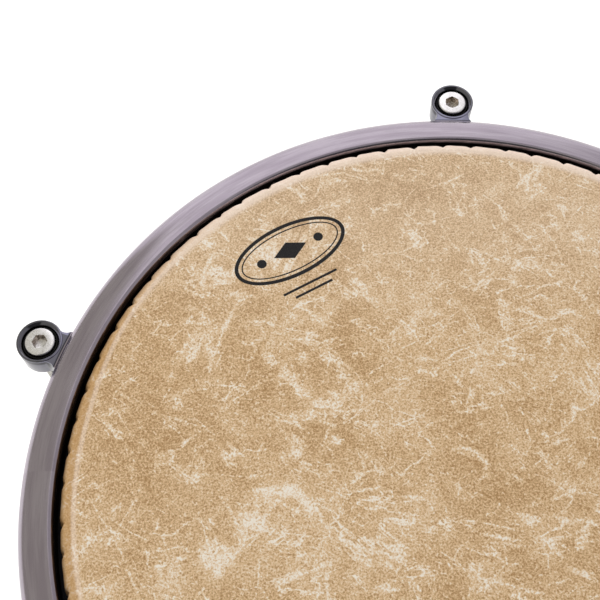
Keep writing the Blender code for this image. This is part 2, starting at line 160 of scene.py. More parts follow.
def prism(name, outline, low, high, edge=0.0, along="Z"):
    """A flat outline carried from low to high, with its two ends' edges rounded. It is carried along Z, or
    along Y with the outline given as (x, z)."""
    count = len(outline)
    verts = [(x, y, z) for z in (low, high) for x, y in outline]
    faces = [list(range(count))[::-1], list(range(count, 2 * count))]
    faces += [[i, (i + 1) % count, count + (i + 1) % count, count + i] for i in range(count)]
    mesh = new_mesh(name, verts, faces)
    if edge:
        shape = bmesh.new()
        shape.from_mesh(mesh)
        ends = [e for e in shape.edges if abs(e.verts[0].co.z - e.verts[1].co.z) < 1e-7]
        bmesh.ops.bevel(
            shape,
            geom=ends,
            offset=edge * MM,
            segments=3,
            affect="EDGES",
            profile=0.5,
            clamp_overlap=True,
        )
        shape.to_mesh(mesh)
        shape.free()
    if along == "Y":
        mesh.transform(Matrix(((1, 0, 0, 0), (0, 0, 1, 0), (0, 1, 0, 0), (0, 0, 0, 1))))
        mesh.flip_normals()
    return mesh


def moved(mesh, x=0.0, y=0.0, z=0.0):
    mesh.transform(Matrix.Translation((x * MM, y * MM, z * MM)))
    return mesh


def turned(mesh, angle, axis="Z"):
    mesh.transform(Matrix.Rotation(angle, 4, axis))
    return mesh


def mirrored(mesh):
    """A copy with its clockwise and anticlockwise sides swapped."""
    other = mesh.copy()
    other.transform(Matrix.Scale(-1, 4, (0, 1, 0)))
    other.flip_normals()
    return other


def copies(mesh, angles):
    """One mesh with a copy of the given mesh at each angle about Z."""
    shape = bmesh.new()
    for angle in angles:
        turned(mesh, angle)
        shape.from_mesh(mesh)
        turned(mesh, -angle)
    many = bpy.data.meshes.new(mesh.name)
    shape.to_mesh(many)
    shape.free()
    return many


def gathered(name, meshes):
    """One mesh that holds the given ones, each as it is."""
    shape = bmesh.new()
    for mesh in meshes:
        shape.from_mesh(mesh)
    whole = bpy.data.meshes.new(name)
    shape.to_mesh(whole)
    shape.free()
    return whole


def combine(base, *steps):
    """The mesh that (operation, mesh) steps leave of base, by exact Booleans."""
    body = bpy.data.objects.new(base.name, base)
    bpy.context.scene.collection.objects.link(body)
    helpers = []
    for operation, mesh in steps:
        helper = bpy.data.objects.new("tool", mesh)
        bpy.context.scene.collection.objects.link(helper)
        modifier = body.modifiers.new(operation, "BOOLEAN")
        modifier.operation = operation
        modifier.solver = "EXACT"
        modifier.object = helper
        helpers.append(helper)
    graph = bpy.context.evaluated_depsgraph_get()
    result = bpy.data.meshes.new_from_object(body.evaluated_get(graph))
    result.name = base.name
    for item in [body, *helpers]:
        bpy.data.objects.remove(item)
    return result


def piece(name, mesh, material, body, nodes, place=(0.0, 0.0, HOOP_TOP), angle=0.0, sharp=32):
    """Puts a finished mesh in the scene, riding on a body and standing for CAD nodes, where it has any."""
    thing = bpy.data.objects.new(name, mesh)
    bpy.context.scene.collection.objects.link(thing)
    mesh.materials.clear()
    mesh.materials.append(material)
    mesh.shade_smooth()
    mesh.set_sharp_from_angle(angle=math.radians(sharp))
    thing.location = place
    thing.rotation_euler = (0, 0, angle)
    if body:
        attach(thing, body)
    if nodes:
        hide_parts(*nodes)
    return thing


# Materials


class Surface:
    """A Principled material whose nodes are added by short calls. Lengths in it are metres."""

    def __init__(self, name, **values):
        self.material = bpy.data.materials.new(name)
        self.material.use_nodes = True
        self.tree = self.material.node_tree
        self.shader = self.tree.nodes["Principled BSDF"]
        sockets = {
            "metallic": "Metallic",
            "roughness": "Roughness",
            "ior": "IOR",
            "coat": "Coat Weight",
            "coat_roughness": "Coat Roughness",
            "specular": "Specular IOR Level",
        }
        for key, value in values.items():
            self.shader.inputs[sockets[key]].default_value = value
        self.place = self.tree.nodes.new("ShaderNodeTexCoord").outputs["Object"]

    def feed(self, socket, value):
        if isinstance(value, bpy.types.NodeSocket):
            self.tree.links.new(value, socket)
        elif value is not None:
            socket.default_value = value

    def set(self, name, value):
        self.feed(self.shader.inputs[name], value)

    def maths(self, operation, *values):
        node = self.tree.nodes.new("ShaderNodeMath")
        node.operation = operation
        for socket, value in zip(node.inputs, values):
            self.feed(socket, value)
        return node.outputs[0]

    def times(self, first, second):
        return self.maths("MULTIPLY", first, second)

    def apart(self, first, second):
        return self.maths("ABSOLUTE", self.maths("SUBTRACT", first, second))

    def stretch(self, scale, turn):
        """Object coordinates turned about Z and shifted, then scaled along each axis."""
        spin = self.tree.nodes.new("ShaderNodeMapping")
        spin.inputs["Rotation"].default_value = (0, 0, math.radians(turn))
        spin.inputs["Location"].default_value = (0.37 + turn * 0.011, 0.21 - turn * 0.007, 0)
        self.feed(spin.inputs["Vector"], self.place)
        node = self.tree.nodes.new("ShaderNodeMapping")
        node.inputs["Scale"].default_value = scale
        self.feed(node.inputs["Vector"], spin.outputs[0])
        return node.outputs[0]

    def axes(self):
        """X, Y and Z."""
        split = self.tree.nodes.new("ShaderNodeSeparateXYZ")
        self.feed(split.inputs[0], self.place)
        return split.outputs[:]

    def cylinder(self):
        """The radius from Z, the angle about it and the height."""
        x, y, z = self.axes()
        squares = self.maths("ADD", self.times(x, x), self.times(y, y))
        return self.maths("SQRT", squares), self.maths("ARCTAN2", y, x), z

    def around(self, across, along):
        """Coordinates that follow circles about Z: finely divided across them, coarsely along them."""
        radius, angle, z = self.cylinder()
        join = self.tree.nodes.new("ShaderNodeCombineXYZ")
        self.feed(join.inputs[0], self.times(radius, across))
        self.feed(join.inputs[1], self.times(angle, along))
        self.feed(join.inputs[2], self.times(z, across))
        return join.outputs[0]

    def noise(self, scale, detail=3.0, rough=0.5, warp=0.0, place=None):
        node = self.tree.nodes.new("ShaderNodeTexNoise")
        self.feed(node.inputs["Vector"], place or self.place)
        node.inputs["Scale"].default_value = scale
        node.inputs["Detail"].default_value = detail
        node.inputs["Roughness"].default_value = rough
        node.inputs["Distortion"].default_value = warp
        return node.outputs["Fac"]

    def ramp(self, value, low, high, start=0.0, end=1.0, smooth=True):
        """Maps value from low..high to start..end, held at both ends."""
        node = self.tree.nodes.new("ShaderNodeMapRange")
        node.interpolation_type = "SMOOTHSTEP" if smooth else "LINEAR"
        for key, number in (("From Min", low), ("From Max", high), ("To Min", start), ("To Max", end)):
            node.inputs[key].default_value = number
        self.feed(node.inputs["Value"], value)
        return node.outputs["Result"]

    def highest(self, values):
        """The largest of several values at each point."""
        result = values[0]
        for value in values[1:]:
            result = self.maths("MAXIMUM", result, value)
        return result

    def total(self, start, *terms):
        """start plus every (weight, value, middle) term's weight times its value's rise over its middle."""
        result = start
        for weight, value, middle in terms:
            rise = self.maths("SUBTRACT", value, middle)
            node = self.tree.nodes.new("ShaderNodeMath")
            node.operation = "MULTIPLY_ADD"
            self.feed(node.inputs[0], rise)
            node.inputs[1].default_value = weight
            self.feed(node.inputs[2], result)
            result = node.outputs[0]
        return result

    def mix(self, factor, first, second):
        node = self.tree.nodes.new("ShaderNodeMix")
        node.data_type = "RGBA"
        colours = [s for s in node.inputs if s.type == "RGBA"]
        self.feed(node.inputs["Factor"], factor)
        for socket, value in zip(colours, (first, second)):
            self.feed(socket, (*value, 1.0) if isinstance(value, tuple) else value)
        return next(s for s in node.outputs if s.type == "RGBA")

    def bump(self, height, depth):
        node = self.tree.nodes.new("ShaderNodeBump")
        node.inputs["Distance"].default_value = depth
        self.feed(node.inputs["Height"], height)
        return node.outputs["Normal"]

    def done(self, colour, roughness=None, normal=None):
        self.set("Base Color", colour)
        self.set("Roughness", roughness)
        self.set("Normal", normal)
        return self.material


def streaks(surface, scale, width, turn):
    """Broken curling lines, drawn out along one direction: where a noise crosses its middle, kept only
    where another one is high. width is how far the noise may be from its middle."""
    value = surface.noise(scale, 4, 0.55, 0.7, surface.stretch((1.0, 0.38, 1.0), turn))
    line = surface.ramp(surface.apart(value, 0.5), 0.0, width, 1.0, 0.0)
    where = surface.noise(scale * 1.3, 3, 0.55, 0.3, surface.stretch((1, 1, 1), turn + 40))
    return surface.times(line, surface.ramp(where, 0.49, 0.63))


def fibres(surface, scale, width, turn, share):
    """Thin wandering lines along the borders of warped cells, seen only where a noise is high. scale is in
    cells to a metre, width is half the line's in metres, and share sets how much of the web is seen."""
    place = surface.stretch((1, 1, 1), turn)
    for size, reach in ((40, 0.016), (260, 0.0009)):
        warp = surface.tree.nodes.new("ShaderNodeTexNoise")
        warp.inputs["Scale"].default_value = size
        warp.inputs["Detail"].default_value = 2.0
        surface.feed(warp.inputs["Vector"], place)
        push = surface.tree.nodes.new("ShaderNodeVectorMath")
        push.operation = "MULTIPLY_ADD"
        surface.feed(push.inputs[0], warp.outputs["Color"])
        push.inputs[1].default_value = (reach, reach, 0.0)
        surface.feed(push.inputs[2], place)
        place = push.outputs[0]
    cells = surface.tree.nodes.new("ShaderNodeTexVoronoi")
    cells.feature = "DISTANCE_TO_EDGE"
    cells.inputs["Scale"].default_value = scale
    surface.feed(cells.inputs["Vector"], place)
    line = surface.ramp(cells.outputs["Distance"], 0.0, width * scale, 1.0, 0.0)
    where = surface.noise(scale * 0.8, 4, 0.6, 0.3, surface.stretch((1, 1, 1), turn + 40))
    return surface.times(line, surface.ramp(where, 0.62 - share, 0.74 - share))


def film_material():
    """Mottled film: a tan ground with brown clouds, a web of frayed cream fibres and a bristly fine grain,
    with painted light and shade near its edge.
    """
    s = Surface("mottled_film", ior=1.5, specular=0.25)
    hair = (420, 1500, 1500)
    turns = (12, 58, 101, 149)
    bristles = s.highest([s.noise(1.0, 2, 0.6, 0.3, s.stretch(hair, turn)) for turn in turns])
    pores = s.noise(1250, 2, 0.6)
    strands = (
        (17, 0.0008, 0, 0.12),
        (31, 0.0006, 85, 0.12),
        (56, 0.0005, 20, 0.11),
        (105, 0.0005, 105, 0.10),
    )
    curls = ((20, 0.028, 15), (34, 0.026, 95), (52, 0.028, 140), (46, 0.020, 62), (78, 0.024, 118))
    web = s.highest([fibres(s, *strand) for strand in strands])
    wisps = s.highest([streaks(s, *curl) for curl in curls])
    fray = s.ramp(s.noise(900, 3, 0.6), 0.38, 0.58, 0.25, 1.0)
    web = s.times(web, fray)
    wisps = s.times(wisps, fray)
    haze = s.times(streaks(s, 16, 0.16, 65), s.ramp(s.noise(150, 4, 0.6), 0.4, 0.6))
    tone = s.total(
        0.38,
        (0.45, s.noise(14, 2, 0.5, 0.4), 0.5),
        (0.70, s.noise(60, 5, 0.62, 0.9, s.stretch((1, 1, 1), 30)), 0.5),
        (2.10, bristles, 0.60),
        (1.60, pores, 0.5),
        (0.50, web, 0.0),
        (0.66, wisps, 0.0),
        (0.16, haze, 0.0),
    )
    colour = s.mix(s.ramp(tone, 0.0, 0.5, smooth=False), (0.430, 0.245, 0.100), (0.800, 0.568, 0.335))
    colour = s.mix(s.ramp(tone, 0.5, 1.0, smooth=False), colour, (0.960, 0.880, 0.770))

    # Painted light and shade: the head is painted paler on its far side, and its turned-down edge is painted
    # darker on the left.
    radius, _, _ = s.cylinder()
    x, y, _ = s.axes()
    left = s.ramp(x, -0.150, -0.090, 1.0, 0.0)
    low = s.times(left, s.ramp(y, 0.020, 0.070, 1.0, 0.0))
    far = s.ramp(y, 0.050, 0.130)
    colour = s.mix(s.times(far, 0.12), colour, (1.000, 0.890, 0.790))
    # Painted highlight: a pale band just inside the bend, on the far side.
    far_highlight = s.times(far, s.ramp(radius, 0.1530, 0.1562, 0.0, 0.50))
    colour = s.mix(far_highlight, colour, (1.000, 0.860, 0.765))
    # A light line along the bend's crease: partly the film's own paler line, partly a painted highlight. On
    # the low left it is set farther out.
    reach = s.total(radius, (0.0018, low, 0.0))
    crease = s.apart(reach, 0.1563)
    colour = s.mix(s.ramp(crease, 0.0003, 0.0016, 0.40, 0.0), colour, (0.990, 0.820, 0.690))
    # The collar's slope: pale pink elsewhere, partly the film's own paler edge and partly a painted
    # highlight; orange-brown painted shade on the left, going near black as painted shade where it drops into
    # the gap.
    collar = s.mix(left, (0.980, 0.800, 0.700), (0.560, 0.320, 0.125))
    colour = s.mix(s.times(s.ramp(reach, 0.1566, 0.1580), 0.62), colour, collar)
    shade = s.times(left, s.ramp(radius, 0.1578, 0.1602, 0.0, 0.85))
    colour = s.mix(shade, colour, (0.100, 0.050, 0.018))

    relief = s.maths("ADD", s.times(bristles, 0.6), web)
    gloss = s.ramp(s.noise(300, 3), 0.3, 0.7, 0.42, 0.56)
    return s.done(colour, gloss, s.bump(relief, 0.00004))


def ink_material():
    s = Surface("printed_ink", ior=1.45, specular=0.3)
    worn = s.ramp(s.noise(2500, 3, 0.6), 0.45, 0.75)
    colour = s.mix(worn, (0.010, 0.010, 0.012), (0.040, 0.036, 0.034))
    return s.done(colour, s.ramp(s.noise(1200, 2), 0.3, 0.7, 0.48, 0.62), s.bump(worn, 0.00001))


def hoop_material():
    """Dark nickel plate: brushed around the hoop, black inside its lip as painted shade, smoother and darker
    on the ears, with painted light and shadow about their necks.
    """
    s = Surface("brushed_dark_nickel", metallic=1.0)
    strokes = s.noise(1.0, 4, 0.6, 0.0, s.around(2600, 14))
    bands = s.noise(1.0, 3, 0.5, 0.0, s.around(420, 5))
    cloud = s.noise(38, 3, 0.5, 0.3)
    colour = s.mix(s.ramp(bands, 0.32, 0.68), (0.370, 0.320, 0.375), (0.450, 0.400, 0.455))
    colour = s.mix(s.times(s.ramp(strokes, 0.45, 0.72), 0.35), colour, (0.290, 0.255, 0.285))
    rough = s.maths("ADD", s.ramp(strokes, 0.3, 0.7, 0.12, 0.21), s.ramp(cloud, 0.35, 0.65, 0.0, 0.05))
    radius, _, height = s.cylinder()
    x, _, _ = s.axes()
    # Painted shade: the inside of the lip is painted black, starting lower down on the left than on the far
    # side.
    lip = s.total(height, (0.0022, s.ramp(x, -0.135, -0.090, 1.0, 0.0), 0.0))
    within = s.ramp(radius, (HOOP_INNER + 0.9) * MM, (HOOP_INNER + 0.4) * MM)
    inside = s.times(within, s.ramp(lip, -0.0017, -0.0027))
    colour = s.mix(inside, colour, (0.012, 0.010, 0.010))

    # An ear is all that lies beyond the hoop's skirt, and the neck's top where it runs into the skirt.
    skirt = HOOP_OUTER * MM
    on_skirt = s.ramp(radius, skirt - 0.00032, skirt - 0.00026)
    beyond = s.ramp(radius, skirt + 0.00002, skirt + 0.00010)
    ear = s.maths("MAXIMUM", beyond, s.times(on_skirt, s.ramp(height, -0.0063, -0.00615)))
    mottle = s.ramp(s.noise(260, 4, 0.55, 0.3), 0.35, 0.65)
    cast = s.mix(mottle, (0.145, 0.144, 0.168), (0.178, 0.175, 0.203))
    # Painted highlight: the tops of the neck and the cup's near rim, by the skirt, are painted paler and
    # bluer.
    lug = s.times(s.ramp(height, -0.0062, -0.0058), s.ramp(radius, 0.1815, 0.1850, 1.0, 0.0))
    cast = s.mix(lug, cast, (0.260, 0.255, 0.340))
    # Painted reflection: a dark band down the ear's walls just under the cup's rim. Painted shadow: the
    # neck's sides by the skirt.
    under_rim_reflection = s.times(s.ramp(height, -0.0060, -0.0064), s.ramp(height, -0.0090, -0.0076, 0.0, 0.8))
    root_shadow = s.times(s.ramp(height, -0.0060, -0.0066), s.ramp(radius, 0.1828, 0.1815))
    cast = s.mix(s.maths("MAXIMUM", under_rim_reflection, root_shadow), cast, (0.032, 0.031, 0.036))
    # Painted shadow: a dark line where the neck meets the skirt.
    shadow_line_distance = s.apart(radius, skirt)
    cast = s.mix(s.ramp(shadow_line_distance, 0.0001, 0.0005, 0.80, 0.0), cast, (0.020, 0.020, 0.024))
    colour = s.mix(ear, colour, cast)
    smooth = s.ramp(s.noise(420, 3, 0.5), 0.35, 0.65, 0.05, 0.12)
    rough = s.total(rough, (1.0, s.times(ear, s.maths("SUBTRACT", smooth, rough)), 0.0))
    rough = s.total(rough, (0.35, inside, 0.0))
    return s.done(colour, rough, s.bump(strokes, 0.000008))


def screw_material():
    """Bright chrome, with painted shade that makes it dull and brownish on the socket's walls."""
    s = Surface("chrome_screw", metallic=1.0)
    cloud = s.noise(420, 4, 0.55, 0.2)
    scuffs = s.ramp(s.noise(1.0, 3, 0.6, 0.4, s.stretch((500, 2600, 900), 35)), 0.58, 0.72)
    colour = s.mix(s.ramp(cloud, 0.35, 0.65), (0.860, 0.835, 0.845), (0.960, 0.940, 0.945))
    colour = s.mix(s.times(scuffs, 0.6), colour, (0.480, 0.460, 0.470))
    radius, _, height = s.cylinder()
    below = s.ramp(height, (SCREW_TOP - 0.05) * MM, (SCREW_TOP - 0.30) * MM)
    deep = s.times(below, s.ramp(radius, 0.0037, 0.0036))
    wall = s.times(deep, s.ramp(height, (SOCKET_FLOOR + 0.02) * MM, (SOCKET_FLOOR + 0.15) * MM))
    # Painted shade on the socket's walls: dark brown mottled with tan.
    socket_shade = s.mix(s.ramp(s.noise(700, 3, 0.6), 0.4, 0.6), (0.260, 0.205, 0.160), (0.760, 0.670, 0.580))
    colour = s.mix(wall, colour, socket_shade)
    rough = s.ramp(s.noise(900, 3, 0.55), 0.32, 0.68, 0.16, 0.34)
    return s.done(colour, rough, s.bump(s.noise(4000, 3, 0.6), 0.000010))


def plated_material(name, low, high, rough_low, rough_high, scale=220):
    """Cast or turned metal under plate: a faint cloud in its colour, fine pits and uneven gloss."""
    s = Surface(name, metallic=1.0)
    cloud = s.noise(scale, 4, 0.55, 0.2)
    pits = s.noise(scale * 14, 3, 0.6)
    colour = s.mix(s.ramp(cloud, 0.35, 0.65), low, high)
    rough = s.ramp(s.noise(scale * 2.3, 3, 0.55), 0.32, 0.68, rough_low, rough_high)
    return s.done(colour, rough, s.bump(pits, 0.000008))


def turned_material(name, low, high, rough_low, rough_high, across=9000):
    """Bar turned on a lathe: fine rings about its own axis."""
    s = Surface(name, metallic=1.0)
    rings = s.noise(1.0, 3, 0.6, 0.0, s.around(across, 1.5))
    colour = s.mix(s.ramp(rings, 0.35, 0.65), low, high)
    return s.done(colour, s.ramp(rings, 0.3, 0.7, rough_low, rough_high), s.bump(rings, 0.000006))


def copper_material():
    """Spun copper under clear lacquer: rings about the bowl's axis, a faint cloud and darker patches."""
    s = Surface("spun_copper", metallic=1.0, coat=0.35, coat_roughness=0.12)
    rings = s.noise(1.0, 4, 0.6, 0.0, s.around(1600, 2.0))
    cloud = s.noise(11, 4, 0.55, 0.6)
    patina = s.ramp(s.noise(30, 5, 0.65, 0.9), 0.55, 0.75)
    colour = s.mix(s.ramp(cloud, 0.35, 0.65), (0.470, 0.165, 0.078), (0.620, 0.255, 0.130))
    colour = s.mix(s.times(patina, 0.35), colour, (0.290, 0.105, 0.052))
    rough = s.maths("ADD", s.ramp(rings, 0.3, 0.7, 0.20, 0.32), s.times(patina, 0.08))
    return s.done(colour, rough, s.bump(rings, 0.00003))


def moulded_material(name, low, high, rough_low, rough_high, pit_scale=1800, depth=0.00003):
    """Black rubber or nylon with a fine moulded grain."""
    s = Surface(name, ior=1.5, specular=0.25)
    grain = s.noise(pit_scale, 4, 0.6)
    dust = s.ramp(s.noise(90, 4, 0.6, 0.4), 0.5, 0.8)
    colour = s.mix(s.times(dust, 0.5), low, high)
    return s.done(colour, s.ramp(grain, 0.3, 0.7, rough_low, rough_high), s.bump(grain, depth))


def metals():
    nickel = ((0.325, 0.290, 0.322), (0.372, 0.334, 0.366), 0.12, 0.19)
    chrome = ((0.590, 0.580, 0.590), (0.650, 0.640, 0.650), 0.07, 0.13, 90)
    zinc = ((0.460, 0.450, 0.430), (0.580, 0.570, 0.560), 0.25, 0.42, 300)
    brass = ((0.620, 0.430, 0.180), (0.740, 0.550, 0.270), 0.18, 0.32)
    aluminium = ((0.620, 0.620, 0.630), (0.740, 0.740, 0.750), 0.25, 0.38, 3000)
    anodised = ((0.012, 0.012, 0.013), (0.026, 0.025, 0.026), 0.40, 0.55, 2500)
    return {
        "hoop": hoop_material(),
        "screw": screw_material(),
        "copper": copper_material(),
        "nickel": plated_material("dark_nickel", *nickel),
        "chrome": plated_material("bright_chrome", *chrome),
        "zinc": plated_material("zinc_plate", *zinc),
        "brass": turned_material("turned_brass", *brass),
        "aluminium": turned_material("machined_aluminium", *aluminium),
        "anodised": turned_material("black_anodised", *anodised),
    }


def plastics():
    rubber = ((0.012, 0.012, 0.013), (0.050, 0.048, 0.045), 0.55, 0.78)
    nylon = ((0.003, 0.003, 0.003), (0.010, 0.010, 0.010), 0.45, 0.60, 2600, 0.00001)
    return {
        "film": film_material(),
        "ink": ink_material(),
        "rubber": moulded_material("black_rubber", *rubber),
        "nylon": moulded_material("black_nylon", *nylon),
    }


MATERIALS = {**metals(), **plastics()}


# The head

HEAD_TOP = 0.9
BEND_RADIUS = 157.0
COLLAR_RADIUS = 160.3
SLOT_RADIUS = 158.95
FILM_END = -14.9
FILM_THICKNESS = 0.35
INK_THICKNESS = 0.02
PLEATS = 72
PLEAT_STEPS = 12


def build_film():
    """Flat, bent over the bearing ring, and pleated down the collar. The pleats fade out above the slot."""
    chance = random.Random(5)
    depths = [chance.uniform(0.75, 1.25) for _ in range(PLEATS)]
    offsets = [chance.uniform(-0.10, 0.10) for _ in range(PLEATS)]

    def pleat(radius, height, angle):
        """The radius, less the notch between two pleats, which is steeper on one side, plus their swell."""
        across = min(1.0, max(0.0, (radius - BEND_RADIUS - 0.4) / 1.6))
        down = min(1.0, max(0.0, (height + 9.8) / 2.5))
        count = angle / math.tau * PLEATS + 0.035 * (height + 4)
        index = math.floor(count) % PLEATS
        away = count - math.floor(count) - 0.5 - offsets[index]
        width = 0.04 if away < 0 else 0.17
        notch = 1.35 * depths[index] * math.exp(-((away / width) ** 2))
        swell = 0.22 * (1 - math.cos(math.tau * (count - math.floor(count)))) / 2
        return radius - across * down * (notch + 0.22 - swell)

    thin = FILM_THICKNESS
    outer = [(0, HEAD_TOP, 0), (BEND_RADIUS, HEAD_TOP, 3.0), (159.9, 0.1, 1.2), (COLLAR_RADIUS, -3.8, 3.0)]
    outer += [(SLOT_RADIUS, -10.2, 3.0), (SLOT_RADIUS, FILM_END, 0)]
    inner = [(x - thin if x else 0, y - thin, max(0, r - thin)) for x, y, r in outer[:-1]]
    inner += [(SLOT_RADIUS - thin, FILM_END, 0)]
    outline = fine(rounded(outer + inner[::-1], 6)[:-1], 1.1, 130.0) + [(0.0, HEAD_TOP - thin)]
    mesh = lathe("drumhead_film", outline, PLEATS * PLEAT_STEPS, pleat)
    film = piece("film", mesh, MATERIALS["film"], None, ["drumhead_film"])
    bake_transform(film)


def fine(outline, longest, from_radius):
    """The outline with extra points, so that beyond from_radius no stretch is longer than longest."""
    result = []
    for (x0, y0), (x1, y1) in zip(outline, outline[1:]):
        result.append((x0, y0))
        if min(x0, x1) < from_radius:
            continue
        parts = math.ceil(math.hypot(x1 - x0, y1 - y0) / longest)
        result += [(x0 + (x1 - x0) * i / parts, y0 + (y1 - y0) * i / parts) for i in range(1, parts)]
    return result + [outline[-1]]


def ellipse_band(half_length, half_width, line):
    """A flat elliptical ring, as a printed line of a given width."""
    steps = 96
    verts, faces = [], []
    for z in (0.0, INK_THICKNESS):
        for inset in (0.0, line):
            across, up = half_length - inset, half_width - inset
            for i in range(steps):
                angle = math.tau * i / steps
                verts.append((across * math.cos(angle), up * math.sin(angle), z))

    def corner(level, inner, i):
        return (level * 2 + inner) * steps + i % steps

    for i in range(steps):
        for first, second in (((1, 0), (1, 1)), ((0, 1), (0, 0)), ((0, 0), (1, 0)), ((1, 1), (0, 1))):
            near = [corner(*first, i), corner(*first, i + 1)]
            faces.append(near + [corner(*second, i + 1), corner(*second, i)])
    return new_mesh("mark", verts, faces)


def build_mark():
    """A plain oval ornament in black ink, with two ruled lines under it."""
    outlines = [[(-8.0, 0.0), (0.0, -4.4), (8.0, 0.0), (0.0, 4.4)]]
    for side in (-1, 1):
        outlines.append([(side * 14.0 + x, y) for x, y in arc((0, 0), (2.1, 2.1), 0, 350, 35)])
    for half, y in ((13.0, -18.0), (9.0, -21.5)):
        outlines.append([(-half, y - 0.55), (half, y - 0.55), (half, y + 0.55), (-half, y + 0.55)])
    shapes = [ellipse_band(26.5, 13.0, 1.7), ellipse_band(23.4, 10.1, 0.6)]
    shapes += [prism("mark", outline, 0.0, INK_THICKNESS) for outline in outlines]
    mark = gathered("head_mark", shapes)
    place = (-74 * MM, 102 * MM, HOOP_TOP + (HEAD_TOP + 0.005) * MM)
    piece("head_mark", mark, MATERIALS["ink"], "kettle", [], place, math.radians(31))


def build_flesh_hoop():
    """A square ring with the slot that the film's edge sits in."""
    top, bottom, slot_bottom = -10.7, -18.9, -17.2
    corners = [
        (157.3, bottom, 0.8),
        (166.0, bottom, 1.2),
        (166.0, top, 0.8),
        (159.5, top, 0.4),
        (159.5, slot_bottom, 0.3),
        (158.1, slot_bottom, 0.3),
        (158.1, top, 0.3),
        (157.3, top, 0.3),
    ]
    mesh = lathe("flesh_hoop", rounded(corners, 3), RING_STEPS)
    piece("flesh_hoop_ring", mesh, MATERIALS["anodised"], "counterhoop", ["flesh_hoop"])


# The counterhoop and its ears

CROWN_CENTRE = (165.0, -9.5)


def crown_outline():
    """The top, from outside inwards. It is fuller at its shoulder than an ellipse would be."""
    width, height, fullness = 13.0, 9.5, 0.85
    outline = []
    for i in range(25):
        angle = math.radians(3.7 * i)
        across, up = width * math.cos(angle) ** fullness, height * math.sin(angle) ** fullness
        outline.append((CROWN_CENTRE[0] + across, CROWN_CENTRE[1] + up))
    return outline


def hoop_outline():
    """Inverted channel: thin inner wall, crowned top, deeper outer skirt."""
    thick, inner_end, outer_end = 2.8, -10.4, -22.0
    hollow = arc(CROWN_CENTRE, (10.2, 6.7), 80, 0, 10)
    wall = [(164.95, 0.0, 0), (HOOP_INNER, 0.0, 1.8), (HOOP_INNER, inner_end, 0.8)]
    wall += [(HOOP_INNER + thick, inner_end, 0.8), (HOOP_INNER + thick, -4.0, 0)]
    skirt = [(HOOP_OUTER - thick, -12.0, 0), (HOOP_OUTER - thick, outer_end, 0.9)]
    skirt += [(HOOP_OUTER, outer_end, 1.2), (HOOP_OUTER, -12.0, 0)]
    return crown_outline() + rounded(wall) + hollow + rounded(skirt)


def neck_mesh():
    """The flared neck between skirt and cup. Its two ends lie inside their walls."""
    reach = (BORE_RADIUS + CUP_RADIUS) / 2
    half = [(176.2, 9.2), (177.9, 8.7), (178.5, 8.2), (179.3, 7.75), (180.4, 7.5), (181.6, 7.5)]
    half += [(182.6, 7.75), (183.4, 8.1)]
    scoop = arc((EAR_PITCH, 0), (-reach, reach), 60, -60, 10)
    outline = half + scoop + [(x, -y) for x, y in reversed(half)]
    return prism("neck", outline, -16.3, -5.6, 0.4)


def cup_mesh():
    """A cup with a chamfered mouth, and a hole in its bottom for the screw's shank."""
    mouth, bottom, seat = -5.2, -17.6, -15.1
    section = [
        (BORE_RADIUS, mouth - 1.2, 0.3),
        (BORE_RADIUS + 1.1, mouth, 0.3),
        (CUP_RADIUS, mouth, 0.5),
        (CUP_RADIUS, bottom, 1.5),
        (SHANK_HOLE, bottom, 0.4),
        (SHANK_HOLE, seat, 0.3),
        (BORE_RADIUS, seat, 0.5),
    ]
    return moved(lathe("cup", rounded(section, 6), 72), x=EAR_PITCH)


def build_counterhoop():
    angles = [bearing(f"tension_screw_{i}") for i in LUGS]
    ring = lathe("counterhoop", hoop_outline(), RING_STEPS)
    hoop = combine(ring, ("UNION", copies(neck_mesh(), angles)), ("UNION", copies(cup_mesh(), angles)))
    piece("hoop_with_ears", hoop, MATERIALS["hoop"], "counterhoop", ["counterhoop"], sharp=28)


def thread_mesh(radius, low, high):
    """A rod with a helical thread cut in it, from low to high. Its lower end narrows over the taper."""
    steps, rows_per_turn, taper = 24, 6, 1.5
    depth = THREAD_PITCH * 0.54
    count = math.ceil((high - low) / THREAD_PITCH * rows_per_turn)
    verts, faces = [], []
    for row in range(count + 1):
        z = low + (high - low) * row / count
        for i in range(steps):
            phase = (z / THREAD_PITCH - i / steps) % 1.0
            wave = abs(phase - 0.5) * 2
            reach = radius - depth * min(1.0, max(0.0, 1.25 * wave - 0.12))
            reach = min(reach, radius - taper + (z - low) if z - low < taper else reach)
            angle = math.tau * i / steps
            verts.append((reach * math.cos(angle), reach * math.sin(angle), z))
    for row in range(count):
        for i in range(steps):
            j = (i + 1) % steps
            faces.append([row * steps + i, row * steps + j, (row + 1) * steps + j, (row + 1) * steps + i])
    faces += [list(range(steps))[::-1], [count * steps + i for i in range(steps)]]
    return new_mesh("thread", verts, faces)


